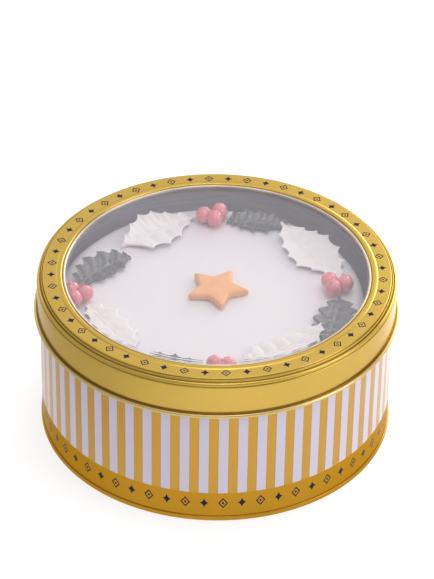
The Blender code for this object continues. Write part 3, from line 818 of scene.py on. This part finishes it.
def leafEdge(leaf, side, along):
    # straight lines join the spikes, and between two of them, p from 0 to 1, the edge falls back by
    # (p/n)^n ((1-p)/(1-n))^(1-n), deepest at the notch n, or for round lobes by
    # 1 - |sin(pi (p - n))|^0.7; gives the share of the length and the distance from the axis
    spikes = np.array([(0.0, 0.0), *leaf[side], (1.0, 0.0)])
    place = along * (len(spikes) - 1)
    number = np.minimum(place.astype(int), len(spikes) - 2)
    part = place - number
    start, end = spikes[number], spikes[number + 1]
    notch = leaf["notch"][side]
    spiky = (part / notch) ** notch * ((1 - part) / (1 - notch)) ** (1 - notch)
    lobed = 1 - np.abs(np.sin(np.pi * (part - notch))) ** 0.7
    shape = spiky + (lobed - spiky) * leaf["lobed"]
    fall = leaf["deep"] * shape * np.minimum(1, (start[:, 1] + end[:, 1]) / 12)
    share, width = (start + (end - start) * part[:, None]).T
    return smoothed(share, leaf["soft"])[:, None], smoothed(width - fall, leaf["soft"])[:, None]


def leafSheet(leaf, along, across):
    # the middle sheet: the edge's points joined to the midrib and cupped by rise * |u|^1.7. The
    # relief has a groove for each side vein and between two grooves, g from 0 to 1, a pillow,
    # sin(pi g^k), with k such that its crest lies at the given share
    stem, tip = np.array(leaf["stem"]), np.array(leaf["tip"])
    length = np.hypot(*(tip - stem))
    axis = (tip - stem) / length
    outward = np.array([-axis[1], axis[0]])
    outward *= np.sign(outward @ (stem + tip))
    far, isOuter = np.abs(across), across > 0
    outerShare, outerWidth = leafEdge(leaf, "outer", along[:, 0])
    innerShare, innerWidth = leafEdge(leaf, "inner", along[:, 0])
    middle = (outerShare + innerShare) / 2
    midrib = leaf["bow"] * np.sin(np.pi * middle)
    middle = middle - 0.06 * np.sin(np.pi * middle)
    narrowest = leaf["neck"] * (1 - 0.6 * along[:, :1])
    edgeShare = np.where(isOuter, outerShare, innerShare)
    outerEdge = np.maximum(outerWidth, midrib + narrowest)
    edge = np.where(isOuter, outerEdge, -np.maximum(innerWidth, narrowest - midrib))
    rise = np.where(isOuter, leaf["rise"][0], leaf["rise"][1])
    sweep = leaf["sweep"] * np.sin(np.pi * along) * far ** 0.5 * (1 - far) * 0.5
    share = middle + (edgeShare - middle) * far ** 0.8 + sweep
    swell = np.sin(np.pi * share.clip(0.02, 0.98))
    sideways = midrib + (edge - midrib) * far
    flat = stem + axis * (length * share)[..., None] + outward * sideways[..., None]
    spikes = np.where(isOuter, len(leaf["outer"]), len(leaf["inner"])) + 1
    place = (along * spikes - np.where(isOuter, leaf["notch"]["outer"], leaf["notch"]["inner"])) % 1
    pillow = np.sin(np.pi * place ** (math.log(0.5) / math.log(leaf["crest"]))) - 0.6
    half = np.abs(edge - midrib)
    reach = np.clip(far / 0.22, 0, 1) ** 0.7 * (1 - 0.25 * far)
    ends = np.clip(along / 0.10, 0, 1) * np.clip((1 - along) / 0.08, 0, 1) * np.clip(half / 5, 0, 1)
    ridge, dip = np.exp(-(far * half / 0.5) ** 2), np.exp(-((far * half - 1.1) / 0.5) ** 2)
    rib = leaf["vein"] * (ridge - 0.9 * dip) * ends
    height = rise * far ** 1.7 * np.sqrt(swell) + leaf["tipRise"] * share.clip(0) ** 3
    height = height + 0.35 * leaf["pillow"] * pillow * far ** 2 * ends
    return flat, cakeValues["top"] + leaf["ground"] + height, leaf["pillow"] * pillow * reach * ends + rib


def makeLeaf(name, leaf, paste, nodeName):
    # two sheets one thickness apart that close on the same rim, so that the edge is rounded
    rows, columns = leafValues["along"], leafValues["across"]
    sideways = np.sin(np.linspace(-np.pi / 2, np.pi / 2, columns))
    along, across = np.meshgrid(np.linspace(0, 1, rows), sideways, indexing="ij")
    flat, height, relief = leafSheet(leaf, along, across)
    rounded = np.sqrt(1 - np.abs(across) ** 6)
    seam = 0.3 * leaf["thick"]
    upper = height - seam + (seam + relief) * rounded
    lower = height - seam - (0.7 * leaf["thick"] - 0.2 * relief) * rounded
    lower = np.maximum(lower, cakeValues["top"] + 0.12)
    upper = np.maximum(upper, lower + 0.02)
    top = np.concatenate([flat, upper[..., None]], -1)
    bottom = np.concatenate([flat, lower[..., None]], -1)
    index = np.arange(rows * columns).reshape(rows, columns)
    below = index + rows * columns
    below[:, 0], below[:, -1] = index[:, 0], index[:, -1]
    sheets = [np.stack([index[:-1, :-1], index[1:, :-1], index[1:, 1:], index[:-1, 1:]], -1).reshape(-1, 4),
              np.stack([below[:-1, :-1], below[:-1, 1:], below[1:, 1:], below[1:, :-1]], -1).reshape(-1, 4)]
    caps = [np.stack([index[0, :-1], index[0, 1:], below[0, 1:], below[0, :-1]], -1),
            np.stack([index[-1, 1:], index[-1, :-1], below[-1, :-1], below[-1, 1:]], -1)]
    quads = np.vstack(sheets + caps)
    points = np.vstack([top.reshape(-1, 3), bottom.reshape(-1, 3)])
    middle = index[rows // 2, columns // 2]
    nextAcross, nextAlong = points[middle + 1] - points[middle], points[middle + columns] - points[middle]
    if np.cross(nextAlong, nextAcross)[2] < 0:  # the upper sheet's quads have to face upwards
        quads = quads[:, ::-1]
    faces = [list(dict.fromkeys(quad)) for quad in quads.tolist()]
    faces = [face for face in faces if len(face) > 2]
    points, faces = dropUnused(points, faces)
    newPiece(name, points * mm, faces, [paste], [nodeName])


for kind in ("green", "white"):
    paste = sugarpaste(f"{kind}Paste", leafValues[kind]["paste"])
    for side in ("Back", "Right", "Front", "Left"):
        leaf = leafValues[kind] | leafValues[kind + side]
        makeLeaf(f"{kind}Leaf{side}", leaf, paste, f"leaf_{kind}_{side.lower()}")
print("leaves ready")
